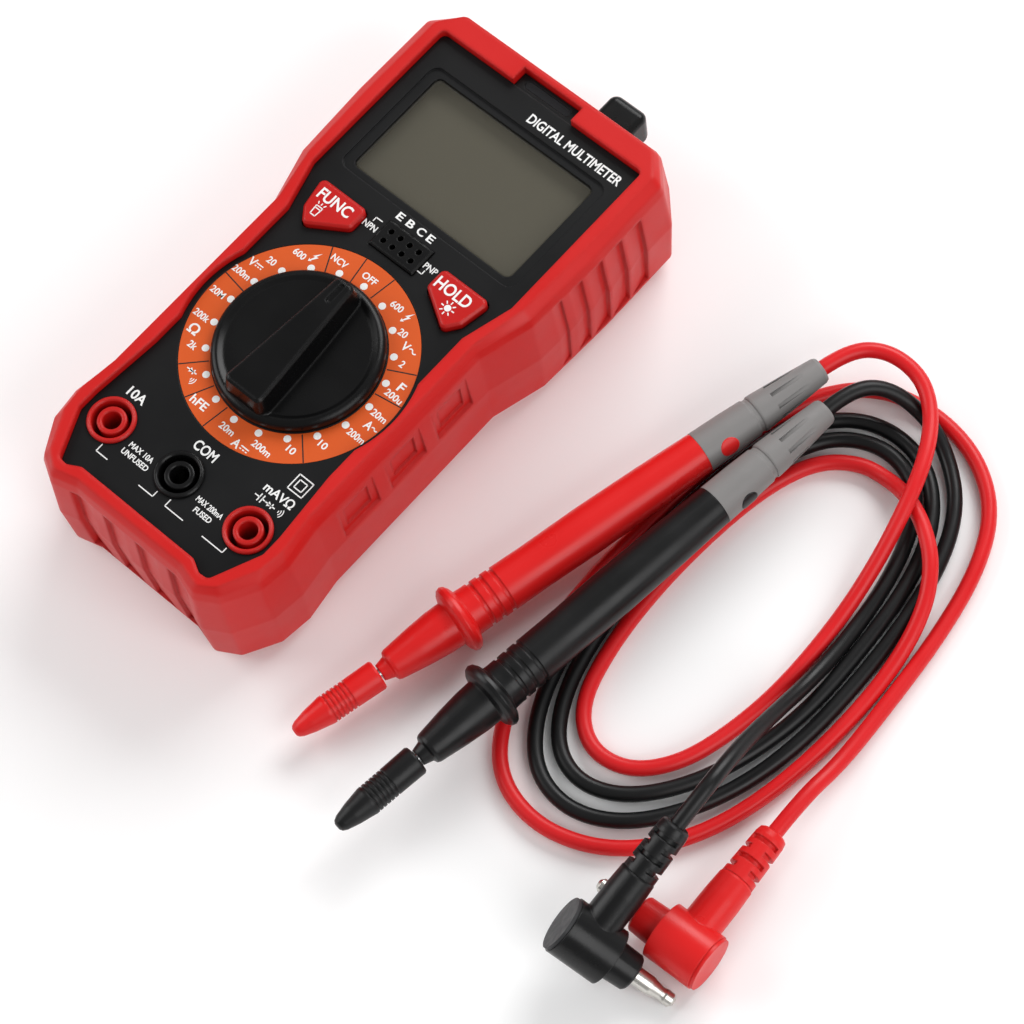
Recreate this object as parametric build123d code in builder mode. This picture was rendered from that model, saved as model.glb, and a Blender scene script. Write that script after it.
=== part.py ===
from build123d import *
import math
import os

# A pocket digital multimeter in a red rubber holster, with its two test leads beside it.
# Millimetres. The meter lies on its back: +Z out of the panel, +Y towards the display,
# origin at the centre of the rear face.

# ---- driving dimensions: heights above the rear face ----
SPLIT_Z = 16.0           # where front and rear shells meet
PANEL_Z = 32.2           # top of the front panel
PANEL_THICK = 2.2
PANEL_UNDER_Z = PANEL_Z - PANEL_THICK
CASE_SHOULDER_Z = 31.2   # shells' edge that the holster's lip covers
RIM_Z = 34.1             # top of the holster's rim
REAR_LIP_Z = 2.2
BOARD_BOTTOM_Z = 17.0
BOARD_TOP_Z = 18.6

# ---- driving dimensions: places on the panel ----
DIAL_Y = -14.6           # centre of the range dial
JACK_Y = -50.7
JACK_PITCH = 19.6
WINDOW_Y = 39.3
SOCKET_Y = 16.9
BUTTON_X = 17.6
BUTTON_Y = 14.2

# ---- shells ----
WALL = 1.8
CASE_GROW = 1.5          # shells stand this far outside the visible panel
CASE_GAP = 0.1
REAR_GROW = 0.15
PANEL_CORNER = 1.4
BULGE_RADIUS = 26.8      # panel bulge round the dial
PANEL_HALF = [
    (28.3, 61.6), (28.3, 20.2), (25.0, 8.6), (25.0, -32.0), (26.4, -48.2),
    (26.4, -53.0), (21.4, -64.0), (19.0, -64.2), (16.0, -62.6),
]
OUTER_HALF = [
    (27.6, 68.9), (34.2, 62.2), (34.3, 40.0), (33.5, 20.9), (29.9, 8.4), (29.9, -41.0),
    (31.3, -50.6), (30.4, -58.2), (25.9, -66.0), (20.6, -69.0), (14.2, -67.3),
]
RIM_HALF = [
    (26.6, 67.0), (30.8, 62.0), (30.9, 40.0), (30.4, 21.4), (27.9, 9.2), (27.9, -40.6),
    (29.0, -49.8), (28.3, -55.6), (24.0, -64.2), (20.6, -66.6), (14.8, -65.1),
]
OUTER_CORNER = 1.8
WALL_LEVELS = [(0.0, -2.8), (3.4, -0.2), (17.0, 0.5), (30.2, -0.5), (32.4, -1.1)]
GRIP_LEVELS = [(4.4, -0.15), (17.0, 0.5), (29.8, -0.5)]

# ---- dial, knob and detent ----
RING_OUTER = 25.4
RING_INNER = 18.7
RING_THICK = 0.25
RING_RECESS = 0.3
SHAFT_RADIUS = 6.0
SHAFT_CLEARANCE = 0.05
DETENTS = 20
DETENT_RADIUS = 13.0
BALL_RADIUS = 1.0
BALL_Z = 29.6
KNOB_BASE_Z = 32.5
KNOB_TOP_Z = 39.9

# ---- window, socket, buttons, jacks ----
WINDOW_LENGTH = 44.3
WINDOW_HEIGHT = 27.3
BEZEL_LENGTH = 49.2
BEZEL_HEIGHT = 31.0
SOCKET_LENGTH = 12.4
SOCKET_HEIGHT = 7.0
SOCKET_PITCH = 2.6
BUTTON_SHAPE = [(10.9, 18.5), (23.9, 18.5), (22.5, 11.0), (19.9, 7.6), (10.9, 13.1)]
BUTTON_GAP = 0.3
BUTTON_TOP_Z = 34.0
SHROUD_RADIUS = 5.3
JACK_BORE = 2.05
SLEEVE_RADIUS = 2.6
SLEEVE_BOTTOM_Z = 10.5
SLEEVE_TOP_Z = 24.0

# ---- rear ----
STAND_HALF = 16.6
STAND_LOW_Y = 6.4
STAND_HINGE_Y = 52.6
STAND_HINGE_Z = 1.9
STAND_PIN = 1.2
POCKET_DEPTH = 3.8
CELL_RADIUS = 5.2
CELL_LENGTH = 44.5
CELL_Y = (-30.2, -17.8)
CELL_Z = 8.0
DOOR_HALF = 23.6
DOOR_LOW_Y = -42.7
DOOR_HIGH_Y = -9.3
DOOR_THICK = 1.8
DOOR_SCREW_Y = -39.7
CASE_SCREWS = [(-22.0, 58.6), (22.0, 58.6), (-10.0, -59.4), (10.0, -59.4)]

# ---- sensor head in the top edge ----
HEAD_X = 11.25
HEAD_Z = 19.7
HEAD_WIDTH = 9.7
HEAD_HEIGHT = 9.6
HEAD_END_Y = 77.3
TAB_HALF = 8.0
TAB_END_Y = 65.2

# ---- test leads ----
CORD_RADIUS = 1.7
PROBE_LENGTH = 134.0
RED_PROBE = ((47.0, -71.9, 6.4), (79.2, 58.1, 11.4))
BLACK_PROBE = ((69.4, -81.9, 11.3), (86.0, 49.3, 11.9))
PLUG_RADIUS = 6.2
PLUG_HALF = 5.6
PIN_RADIUS = 2.0
RED_PLUG = ((137.6, -54.9, 6.3), (136.2, -26.0, 6.3), -1, 0)
BLACK_PLUG = ((123.4, -67.4, 11.2), (124.2, -40.2, 22.0), 1, 30)

os.makedirs("parts", exist_ok=True)


def save(shape, label):
    """Label one finished sub-part and write it."""
    shape.label = label
    export_step(shape, "parts/" + label + ".step")


def both_sides(half):
    """Mirror a right-hand half outline into a closed list of corners."""
    return half + [(-x, y) for x, y in reversed(half)]


def panel_shape(height, grow):
    """The panel's outline at a height, grown outwards by grow."""
    half = [(x + grow, y + grow * math.copysign(1, y) if abs(y) > 60 else y) for x, y in PANEL_HALF]
    with BuildSketch(Plane.XY.offset(height)) as shape:
        Polygon(*both_sides(half), align=None)
        fillet(shape.vertices(), PANEL_CORNER)
        with Locations((0, DIAL_Y)):
            Circle(BULGE_RADIUS + grow)
    return shape.sketch


def holster_level(half, height, grow):
    """One level of the holster's faceted outside."""
    with BuildSketch(Plane.XY.offset(height)) as shape:
        Polygon(*both_sides(half), align=None)
        if grow:
            offset(amount=grow, kind=Kind.INTERSECTION)
        fillet(shape.vertices(), OUTER_CORNER)
    return shape.sketch


def button_outline(side, height, grow):
    """A five-sided button outline; side is -1 on the left and 1 on the right."""
    with BuildSketch(Plane.XY.offset(height)) as shape:
        Polygon(*[(side * x, y) for x, y in BUTTON_SHAPE], align=None)
        fillet(shape.vertices(), 1.3)
        if grow:
            offset(amount=grow)
    return shape.sketch


def grip_step(corners, outward):
    """Cut one overlapping grip step that keeps its depth as the wall leans."""
    step_levels = []
    for z, grow in GRIP_LEVELS:
        with BuildSketch(Plane.XY.offset(z)) as step_level:
            Polygon(*[(x + outward[0] * grow, y + outward[1] * grow) for x, y in corners], align=None)
        step_levels.append(step_level.sketch)
    loft(step_levels, ruled=True, mode=Mode.SUBTRACT)


# ======== holster ========
with BuildPart() as holster:
    levels = [holster_level(OUTER_HALF, z, grow) for z, grow in WALL_LEVELS]
    levels.append(holster_level(RIM_HALF, RIM_Z, 0))
    for low, high in zip(levels, levels[1:]):
        loft([low, high], ruled=True)
    # the meter's cavity, the rear opening and the panel opening
    extrude(panel_shape(REAR_LIP_Z, CASE_GROW + CASE_GAP), CASE_SHOULDER_Z + CASE_GAP - REAR_LIP_Z,
            mode=Mode.SUBTRACT)
    extrude(panel_shape(-1, REAR_GROW + CASE_GAP), REAR_LIP_Z + 1, mode=Mode.SUBTRACT)
    extrude(panel_shape(CASE_SHOULDER_Z, 0), RIM_Z - CASE_SHOULDER_Z + 1, mode=Mode.SUBTRACT)
    # notch for the light bar and hole for the sensor head
    with BuildSketch(Plane.XY.offset(28.4)):
        with Locations((0, 61.0)):
            Rectangle(2 * TAB_HALF + 0.4, 2 * (TAB_END_Y + 0.2 - 61.0))
    extrude(amount=7, mode=Mode.SUBTRACT)
    with BuildSketch(Plane.XZ.offset(-60)):
        with Locations((HEAD_X, HEAD_Z)):
            RectangleRounded(HEAD_WIDTH + 0.2, HEAD_HEIGHT + 0.2, 1.6)
    extrude(amount=-12, mode=Mode.SUBTRACT)
    # grip steps on both upper sides follow the wall's slope
    for side in (-1, 1):
        for step in range(5):
            step_y = 54.4 - 6.2 * step
            grip_step([(side * 33.2, step_y), (side * 38, step_y), (side * 38, step_y - 5.9),
                       (side * 34.25, step_y - 5.4)], (side, 0))
        # framed windows at the waist
        for window_y in (-1.6, -16.0, -30.2):
            with Locations((side * 30.5, window_y, 23.4)):
                Box(2.2, 10.6, 10.4, mode=Mode.SUBTRACT)
                Box(3.4, 7.0, 7.2, mode=Mode.SUBTRACT)
        # small notch at the rear edge
        with Locations((side * 34.5, 32.9, 1.1)):
            Box(4, 2.4, 4, mode=Mode.SUBTRACT)
    # grip steps on the bottom
    for step in range(4):
        step_x = -16.0 + 9.2 * step
        grip_step([(step_x, -66.4), (step_x, -71), (step_x + 7.0, -71), (step_x + 6.4, -67.4)], (0, -1))
save(holster.part, "holster")

# ======== front case ========
with BuildPart() as front_case:
    extrude(panel_shape(SPLIT_Z, CASE_GROW), CASE_SHOULDER_Z - SPLIT_Z)
    extrude(panel_shape(CASE_SHOULDER_Z, -CASE_GAP), PANEL_Z - CASE_SHOULDER_Z)
    extrude(panel_shape(SPLIT_Z, CASE_GROW - WALL), PANEL_UNDER_Z - SPLIT_Z, mode=Mode.SUBTRACT)
    # tab that fills the notch in the holster's rim, with a slot for the light bar
    with BuildSketch(Plane.XY.offset(28.6)):
        with Locations((0, 61.0)):
            Rectangle(2 * TAB_HALF, 2 * (TAB_END_Y - 61.0))
    extrude(amount=PANEL_Z - 0.3 - 28.6)
    with BuildSketch(Plane.XY.offset(PANEL_Z)):
        with Locations((0, 63.4)):
            SlotOverall(12.6, 2.0)
    extrude(amount=-1.6, mode=Mode.SUBTRACT)
    # screw posts
    with BuildSketch(Plane.XY.offset(SPLIT_Z)):
        with Locations(*CASE_SCREWS):
            Circle(2.6)
    extrude(amount=PANEL_UNDER_Z - SPLIT_Z)
    with BuildSketch(Plane.XY.offset(SPLIT_Z)):
        with Locations(*CASE_SCREWS):
            Circle(1.1)
    extrude(amount=10, mode=Mode.SUBTRACT)
    # display recess and opening
    with BuildSketch(Plane.XY.offset(PANEL_Z)):
        with Locations((0, WINDOW_Y)):
            RectangleRounded(BEZEL_LENGTH, BEZEL_HEIGHT, 2.4)
    extrude(amount=-0.5, mode=Mode.SUBTRACT)
    with BuildSketch(Plane.XY.offset(PANEL_Z)):
        with Locations((0, WINDOW_Y)):
            RectangleRounded(WINDOW_LENGTH + 0.2, WINDOW_HEIGHT + 0.2, 1.6)
    extrude(amount=-PANEL_THICK, mode=Mode.SUBTRACT)
    # dial well, shaft bearing and detent track
    with BuildSketch(Plane.XY.offset(PANEL_Z)):
        with Locations((0, DIAL_Y)):
            Circle(RING_OUTER + 0.1)
            Circle(RING_INNER - 0.1, mode=Mode.SUBTRACT)
    extrude(amount=-RING_RECESS, mode=Mode.SUBTRACT)
    with BuildSketch(Plane.XY.offset(PANEL_UNDER_Z)):
        with Locations((0, DIAL_Y)):
            Circle(8.4)
    extrude(amount=-0.5)
    with BuildSketch(Plane.XY.offset(PANEL_Z)):
        with Locations((0, DIAL_Y)):
            Circle(SHAFT_RADIUS + SHAFT_CLEARANCE)
    extrude(amount=-4, mode=Mode.SUBTRACT)
    with BuildSketch(Plane.XY.offset(PANEL_UNDER_Z)):
        with Locations((0, DIAL_Y)):
            Circle(DETENT_RADIUS + 1.4)
            Circle(DETENT_RADIUS - 1.4, mode=Mode.SUBTRACT)
    extrude(amount=0.9, mode=Mode.SUBTRACT)
    with Locations((0, DIAL_Y, PANEL_UNDER_Z + 0.35)):
        with PolarLocations(DETENT_RADIUS, DETENTS):
            Sphere(1.25, mode=Mode.SUBTRACT)
    # button, socket and jack openings
    for side in (-1, 1):
        extrude(button_outline(side, PANEL_Z, BUTTON_GAP), -PANEL_THICK, mode=Mode.SUBTRACT)
    with BuildSketch(Plane.XY.offset(PANEL_Z)):
        with Locations((0, SOCKET_Y)):
            Rectangle(SOCKET_LENGTH + 0.2, SOCKET_HEIGHT + 0.2)
        with Locations((0, JACK_Y)):
            with GridLocations(JACK_PITCH, 1, 3, 1):
                Circle(SHROUD_RADIUS)
    extrude(amount=-PANEL_THICK, mode=Mode.SUBTRACT)
    # sensor head passes out through the top wall
    with BuildSketch(Plane.XZ.offset(-60)):
        with Locations((HEAD_X, HEAD_Z)):
            RectangleRounded(HEAD_WIDTH + 0.1, HEAD_HEIGHT + 0.1, 1.6)
    extrude(amount=-6, mode=Mode.SUBTRACT)
save(front_case.part, "front_case")

# ======== rear case ========
with BuildPart() as rear_case:
    extrude(panel_shape(REAR_LIP_Z, CASE_GROW), SPLIT_Z - REAR_LIP_Z)
    extrude(panel_shape(0, REAR_GROW), REAR_LIP_Z)
    extrude(panel_shape(2.0, CASE_GROW - WALL), SPLIT_Z - 2.0, mode=Mode.SUBTRACT)
    # stand housing, battery housing and screw posts
    with Locations((0, 29.6, 0)):
        Box(39.6, 56.4, 5.6, align=(Align.CENTER, Align.CENTER, Align.MIN))
    with Locations((0, -24.0, 0)):
        Box(49.6, 27.2, 15.4, align=(Align.CENTER, Align.CENTER, Align.MIN))
    with BuildSketch(Plane.XY):
        with Locations(*CASE_SCREWS):
            Circle(3.0)
    extrude(amount=SPLIT_Z)
    with BuildSketch(Plane.XY):
        with Locations((0, DOOR_SCREW_Y)):
            Circle(3.0)
    extrude(amount=8.0)
    # stand pocket and finger scoop
    with Locations((0, (STAND_LOW_Y - 0.4 + 56.2) / 2, 0)):
        Box(2 * STAND_HALF + 0.8, 56.2 - STAND_LOW_Y + 0.4, POCKET_DEPTH,
            align=(Align.CENTER, Align.CENTER, Align.MIN), mode=Mode.SUBTRACT)
    with Locations((0, 4.6, 0)):
        Box(12, 3.2, 1.8, align=(Align.CENTER, Align.CENTER, Align.MIN), mode=Mode.SUBTRACT)
    with Locations((0, STAND_HINGE_Y, STAND_HINGE_Z)):
        Cylinder(STAND_PIN + SHAFT_CLEARANCE, 37.6, rotation=(0, 90, 0), mode=Mode.SUBTRACT)
    # battery compartment, its mouth and the door's recess
    with Locations((0, -24.0, 1.8)):
        Box(47.8, 25.0, 12.4, align=(Align.CENTER, Align.CENTER, Align.MIN), mode=Mode.SUBTRACT)
    with Locations((0, -24.0, 0)):
        Box(45.6, 24.0, 2.5, align=(Align.CENTER, Align.CENTER, Align.MIN), mode=Mode.SUBTRACT)
    with Locations((0, (DOOR_LOW_Y + DOOR_HIGH_Y) / 2, 0)):
        Box(2 * DOOR_HALF + 0.2, DOOR_HIGH_Y - DOOR_LOW_Y + 0.2, DOOR_THICK,
            align=(Align.CENTER, Align.CENTER, Align.MIN), mode=Mode.SUBTRACT)
    with BuildSketch(Plane.XY.offset(DOOR_THICK)):
        with Locations((0, DOOR_SCREW_Y)):
            Circle(1.0)
    extrude(amount=5.2, mode=Mode.SUBTRACT)
    # case screw counterbores
    with BuildSketch(Plane.XY):
        with Locations(*CASE_SCREWS):
            Circle(2.5)
    extrude(amount=10.0, mode=Mode.SUBTRACT)
    with BuildSketch(Plane.XY):
        with Locations(*CASE_SCREWS):
            Circle(1.5)
    extrude(amount=SPLIT_Z, mode=Mode.SUBTRACT)
    with BuildSketch(Plane.XZ.offset(-60)):
        with Locations((HEAD_X, HEAD_Z)):
            RectangleRounded(HEAD_WIDTH + 0.1, HEAD_HEIGHT + 0.1, 1.6)
    extrude(amount=-6, mode=Mode.SUBTRACT)
save(rear_case.part, "rear_case")

# ======== case screws ========
with BuildPart() as case_screws:
    with BuildSketch(Plane.XY.offset(8.2)):
        with Locations(*CASE_SCREWS):
            Circle(2.3)
    extrude(amount=1.8)
    with BuildSketch(Plane.XY.offset(8.2)):
        with Locations(*CASE_SCREWS):
            Circle(1.1)
    extrude(amount=15.8)
    with BuildSketch(Plane.XY.offset(8.2)):
        with Locations(*CASE_SCREWS):
            Rectangle(2.6, 0.6)
            Rectangle(0.6, 2.6)
    extrude(amount=0.9, mode=Mode.SUBTRACT)
save(case_screws.part, "case_screws")

# ======== tilt stand ========
with BuildPart() as tilt_stand:
    with BuildSketch(Plane.XY.offset(0.3)) as stand_plan:
        with Locations((0, (STAND_LOW_Y + STAND_HINGE_Y) / 2)):
            Rectangle(2 * STAND_HALF, STAND_HINGE_Y - STAND_LOW_Y)
        fillet(stand_plan.vertices().sort_by(Axis.Y)[:2], 3.0)
    extrude(amount=2.4)
    with Locations((0, STAND_HINGE_Y, STAND_HINGE_Z)):
        Cylinder(1.6, 2 * STAND_HALF, rotation=(0, 90, 0))
        Cylinder(STAND_PIN, 37.2, rotation=(0, 90, 0))
    with BuildSketch(Plane.XY.offset(0.3)):
        with Locations((0, 27.0)):
            RectangleRounded(24.0, 28.0, 3.0)
    extrude(amount=0.8, mode=Mode.SUBTRACT)
save(tilt_stand.part, "tilt_stand")

# ======== battery door and its screw ========
with BuildPart() as battery_door:
    with BuildSketch(Plane.XY) as door_plan:
        with Locations((0, (DOOR_LOW_Y + DOOR_HIGH_Y) / 2)):
            Rectangle(2 * DOOR_HALF, DOOR_HIGH_Y - DOOR_LOW_Y)
        fillet(door_plan.vertices(), 0.8)
    extrude(amount=DOOR_THICK)
    with BuildSketch(Plane.XY):
        with Locations((0, DOOR_SCREW_Y)):
            Circle(2.4)
    extrude(amount=1.2, mode=Mode.SUBTRACT)
    with BuildSketch(Plane.XY):
        with Locations((0, DOOR_SCREW_Y)):
            Circle(1.2)
    extrude(amount=DOOR_THICK, mode=Mode.SUBTRACT)
    with BuildSketch(Plane.XY):
        with Locations((0, -16.0)):
            with GridLocations(1, 2.2, 1, 4):
                SlotOverall(14, 1.0)
    extrude(amount=0.5, mode=Mode.SUBTRACT)
save(battery_door.part, "battery_door")

with BuildPart() as battery_door_screw:
    with BuildSketch(Plane.XY.offset(0.2)):
        with Locations((0, DOOR_SCREW_Y)):
            Circle(2.2)
    extrude(amount=1.0)
    with BuildSketch(Plane.XY.offset(0.2)):
        with Locations((0, DOOR_SCREW_Y)):
            Circle(1.0)
    extrude(amount=6.4)
    with BuildSketch(Plane.XY.offset(0.2)):
        with Locations((0, DOOR_SCREW_Y)):
            Rectangle(2.4, 0.6)
            Rectangle(0.6, 2.4)
    extrude(amount=0.5, mode=Mode.SUBTRACT)
save(battery_door_screw.part, "battery_door_screw")

# ======== cells and their contacts ========
with BuildPart() as battery_cells:
    for index, cell_y in enumerate(CELL_Y):
        facing = 1 if index else -1
        with Locations((-facing * 0.45, cell_y, CELL_Z)):
            Cylinder(CELL_RADIUS, CELL_LENGTH - 0.9, rotation=(0, 90, 0))
        with Locations((facing * (CELL_LENGTH / 2 - 0.5), cell_y, CELL_Z)):
            Cylinder(2.7, 1.0, rotation=(0, 90, 0))
save(battery_cells.part, "battery_cells")

with BuildPart() as battery_contacts:
    for index, cell_y in enumerate(CELL_Y):
        facing = 1 if index else -1
        for end in (-1, 1):
            with Locations((end * 23.7, cell_y, CELL_Z)):
                Box(0.4, 8.0, 8.0)
        with Locations((-facing * 22.9, cell_y, CELL_Z)):
            Cylinder(3.0, 1.2, rotation=(0, 90, 0))
            Cylinder(2.2, 1.2, rotation=(0, 90, 0), mode=Mode.SUBTRACT)
        with Locations((facing * 22.9, cell_y, CELL_Z)):
            Cylinder(1.8, 1.2, rotation=(0, 90, 0))
save(battery_contacts.part, "battery_contacts")

# ======== circuit board ========
with BuildPart() as circuit_board:
    extrude(panel_shape(BOARD_BOTTOM_Z, -0.6), BOARD_TOP_Z - BOARD_BOTTOM_Z)
    with BuildSketch(Plane.XY.offset(BOARD_BOTTOM_Z)):
        with Locations(*CASE_SCREWS):
            Circle(2.9)
        with Locations((0, JACK_Y)):
            with GridLocations(JACK_PITCH, 1, 3, 1):
                Circle(SLEEVE_RADIUS)
        with Locations((HEAD_X, 61.0)):
            Rectangle(13.6, 5.0)
    extrude(amount=BOARD_TOP_Z - BOARD_BOTTOM_Z, mode=Mode.SUBTRACT)
save(circuit_board.part, "circuit_board")

with BuildPart() as measuring_chip:
    with Locations((0, 10.0, 16.2)):
        Box(11, 11, 1.2)
    with Locations((0, 10.0, 16.8)):
        Box(13, 9, 0.4)
        Box(9, 13, 0.4)
save(measuring_chip.part, "measuring_chip")

with BuildPart() as buzzer:
    with Locations((14.0, 34.0, 14.6)):
        Cylinder(6.0, 4.8)
        Cylinder(1.2, 4.8, mode=Mode.SUBTRACT)
save(buzzer.part, "buzzer")

with BuildPart() as button_switches:
    for side in (-1, 1):
        with Locations((side * BUTTON_X, BUTTON_Y, 19.2)):
            Box(6.0, 6.0, 1.2)
        with Locations((side * BUTTON_X, BUTTON_Y, 19.9)):
            Cylinder(1.6, 0.4)
save(button_switches.part, "button_switches")

with BuildPart() as fuse:
    with Locations((4.0, -37.4, 22.8)):
        Cylinder(2.3, 20.0, rotation=(0, 90, 0))
    with Locations((-3.3, -37.4, 22.8), (11.3, -37.4, 22.8)):
        Cylinder(2.6, 5.4, rotation=(0, 90, 0))
save(fuse.part, "fuse")

with BuildPart() as fuse_clips:
    with Locations((-3.4, -37.4, 21.0), (11.4, -37.4, 21.0)):
        Box(4.0, 6.8, 4.8)
    with Locations((4.0, -37.4, 22.8)):
        Cylinder(2.6, 24.0, rotation=(0, 90, 0), mode=Mode.SUBTRACT)
    with Locations((4.0, -37.4, 25.0)):
        Box(24.0, 3.0, 6.0, mode=Mode.SUBTRACT)
save(fuse_clips.part, "fuse_clips")

with BuildPart() as shunt_wire:
    with BuildLine() as shunt_path:
        FilletPolyline((-16, -42.9, BOARD_TOP_Z), (-16, -42.9, 23.6), (-4.4, -42.9, 23.6),
                       (-4.4, -42.9, BOARD_TOP_Z), radius=2.4)
    with BuildSketch(Plane(origin=(-16, -42.9, BOARD_TOP_Z), z_dir=(0, 0, 1))):
        Circle(0.8)
    sweep()
save(shunt_wire.part, "shunt_wire")

# ======== display ========
with BuildPart() as lcd_holder:
    with BuildSketch(Plane.XY.offset(BOARD_TOP_Z)):
        with Locations((0, 39.4)):
            Rectangle(50.0, 31.6)
    extrude(amount=8.5)
    with BuildSketch(Plane.XY.offset(BOARD_TOP_Z)):
        with Locations((0, 39.4)):
            Rectangle(46.8, 28.4)
    extrude(amount=6.0, mode=Mode.SUBTRACT)
save(lcd_holder.part, "lcd_holder")

with BuildPart() as zebra_strip:
    with Locations((0, 22.3, 22.9)):
        Box(44.0, 1.8, 8.5)
save(zebra_strip.part, "zebra_strip")

with BuildPart() as lcd_glass:
    with Locations((0, 38.2, 27.95)):
        Box(49.6, 33.6, 1.6)
save(lcd_glass.part, "lcd_glass")

with BuildPart() as display_window:
    with BuildSketch(Plane.XY.offset(28.8)):
        with Locations((0, WINDOW_Y)):
            RectangleRounded(48.0, 31.0, 2.0)
    extrude(amount=PANEL_UNDER_Z - 28.8)
    with BuildSketch(Plane.XY.offset(PANEL_UNDER_Z)):
        with Locations((0, WINDOW_Y)):
            RectangleRounded(WINDOW_LENGTH, WINDOW_HEIGHT, 1.5)
    extrude(amount=1.5)
    chamfer(display_window.faces().sort_by(Axis.Z)[-1].edges(), 0.3)
save(display_window.part, "display_window")

# ======== dial label and knob ========
with BuildPart() as dial_label:
    with BuildSketch(Plane.XY.offset(PANEL_Z - RING_RECESS)):
        with Locations((0, DIAL_Y)):
            Circle(RING_OUTER)
            Circle(RING_INNER, mode=Mode.SUBTRACT)
    extrude(amount=RING_THICK)
save(dial_label.part, "dial_label")

DIAL_AXIS = Axis((0, DIAL_Y, 0), (0, 0, 1))
DIAL_SECTION = Plane(origin=(0, DIAL_Y, 0), x_dir=(1, 0, 0), z_dir=(0, -1, 0))

with BuildPart() as selector_knob:
    with BuildSketch(DIAL_SECTION) as knob_profile:
        with BuildLine():
            Polyline((0, 21.6), (SHAFT_RADIUS, 21.6), (SHAFT_RADIUS, KNOB_BASE_Z), (18.4, KNOB_BASE_Z))
            Line((18.4, KNOB_BASE_Z), (18.4, 33.6))
            ThreePointArc((18.4, 33.6), (17.9, 34.7), (16.8, 35.1))
            Line((16.8, 35.1), (15.6, 34.5))
            ThreePointArc((15.6, 34.5), (8.0, 34.1), (0, 34.0))
            Line((0, 34.0), (0, 21.6))
        make_face()
    revolve(axis=DIAL_AXIS)
    # grip bar, narrow at the pointing end
    with BuildSketch(Plane.XY.offset(33.0)) as bar_plan:
        with Locations((0, DIAL_Y)):
            Polygon((-3.4, 17.2), (-6.3, -17.2), (6.3, -17.2), (3.4, 17.2), align=None)
        fillet(bar_plan.vertices(), 2.4)
    extrude(amount=KNOB_TOP_Z - 33.0, taper=10)
    chamfer(selector_knob.faces().sort_by(Axis.Z)[-1].edges(), 0.5)
    # pointer slot
    with BuildSketch(Plane.XY.offset(KNOB_TOP_Z)):
        with Locations((0, DIAL_Y + 12.6)):
            SlotOverall(5.0, 1.3, rotation=90)
    extrude(amount=-0.6, mode=Mode.SUBTRACT)
save(selector_knob.part, "selector_knob")

with BuildPart() as rotor_carrier:
    with BuildSketch(DIAL_SECTION):
        Polygon((0, 20.2), (8.2, 20.2), (8.2, 22.0), (15.2, 22.0), (15.2, 24.0), (8.2, 24.0),
                (8.2, 29.1), (SHAFT_RADIUS, 29.1), (SHAFT_RADIUS, 21.6), (0, 21.6), align=None)
    revolve(axis=DIAL_AXIS)
    with BuildSketch(Plane.XY.offset(24.0)):
        with Locations((0, DIAL_Y)):
            with PolarLocations(DETENT_RADIUS, 2):
                Circle(1.9)
    extrude(amount=4.4)
    with BuildSketch(Plane.XY.offset(24.6)):
        with Locations((0, DIAL_Y)):
            with PolarLocations(DETENT_RADIUS, 2):
                Circle(1.1)
    extrude(amount=4.0, mode=Mode.SUBTRACT)
save(rotor_carrier.part, "rotor_carrier")

with BuildPart() as rotor_contacts:
    with Locations((0, DIAL_Y, 21.8)):
        with PolarLocations(11.6, 3, start_angle=30):
            Box(5.0, 2.4, 0.4)
    with Locations((0, DIAL_Y, 20.4)):
        with PolarLocations(9.9, 3, start_angle=30):
            Box(1.2, 2.0, 2.8)
        with PolarLocations(13.3, 3, start_angle=30):
            Box(1.2, 2.0, 2.8)
save(rotor_contacts.part, "rotor_contacts")

with BuildPart() as detent_springs:
    with BuildSketch(Plane.XY.offset(24.6)):
        with Locations((0, DIAL_Y)):
            with PolarLocations(DETENT_RADIUS, 2):
                Circle(1.0)
                Circle(0.6, mode=Mode.SUBTRACT)
    extrude(amount=4.0)
save(detent_springs.part, "detent_springs")

with BuildPart() as detent_balls:
    with Locations((0, DIAL_Y, BALL_Z)):
        with PolarLocations(DETENT_RADIUS, 2):
            Sphere(BALL_RADIUS)
save(detent_balls.part, "detent_balls")

# ======== buttons ========
for side, name in ((-1, "function_button"), (1, "hold_button")):
    with BuildPart() as button:
        extrude(button_outline(side, 28.5, 1.0), 1.2)
        extrude(button_outline(side, 29.7, 0), BUTTON_TOP_Z - 29.7)
        chamfer(button.faces().sort_by(Axis.Z)[-1].edges(), 0.5)
        with BuildSketch(Plane.XY.offset(28.5)):
            with Locations((side * BUTTON_X, BUTTON_Y)):
                Circle(2.0)
        extrude(amount=-7.1)
    save(button.part, name)

# ======== transistor socket ========
with BuildPart() as transistor_socket:
    with BuildSketch(Plane.XY.offset(BOARD_TOP_Z)):
        with Locations((0, SOCKET_Y)):
            Rectangle(SOCKET_LENGTH, SOCKET_HEIGHT)
    extrude(amount=PANEL_Z + 0.8 - BOARD_TOP_Z)
    chamfer(transistor_socket.faces().sort_by(Axis.Z)[-1].edges(), 0.4)
    with BuildSketch(Plane.XY.offset(PANEL_Z + 0.8)):
        with Locations((0, SOCKET_Y)):
            with GridLocations(SOCKET_PITCH, SOCKET_PITCH, 4, 2):
                Circle(0.65)
    extrude(amount=-6, mode=Mode.SUBTRACT)
save(transistor_socket.part, "transistor_socket")

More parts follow.
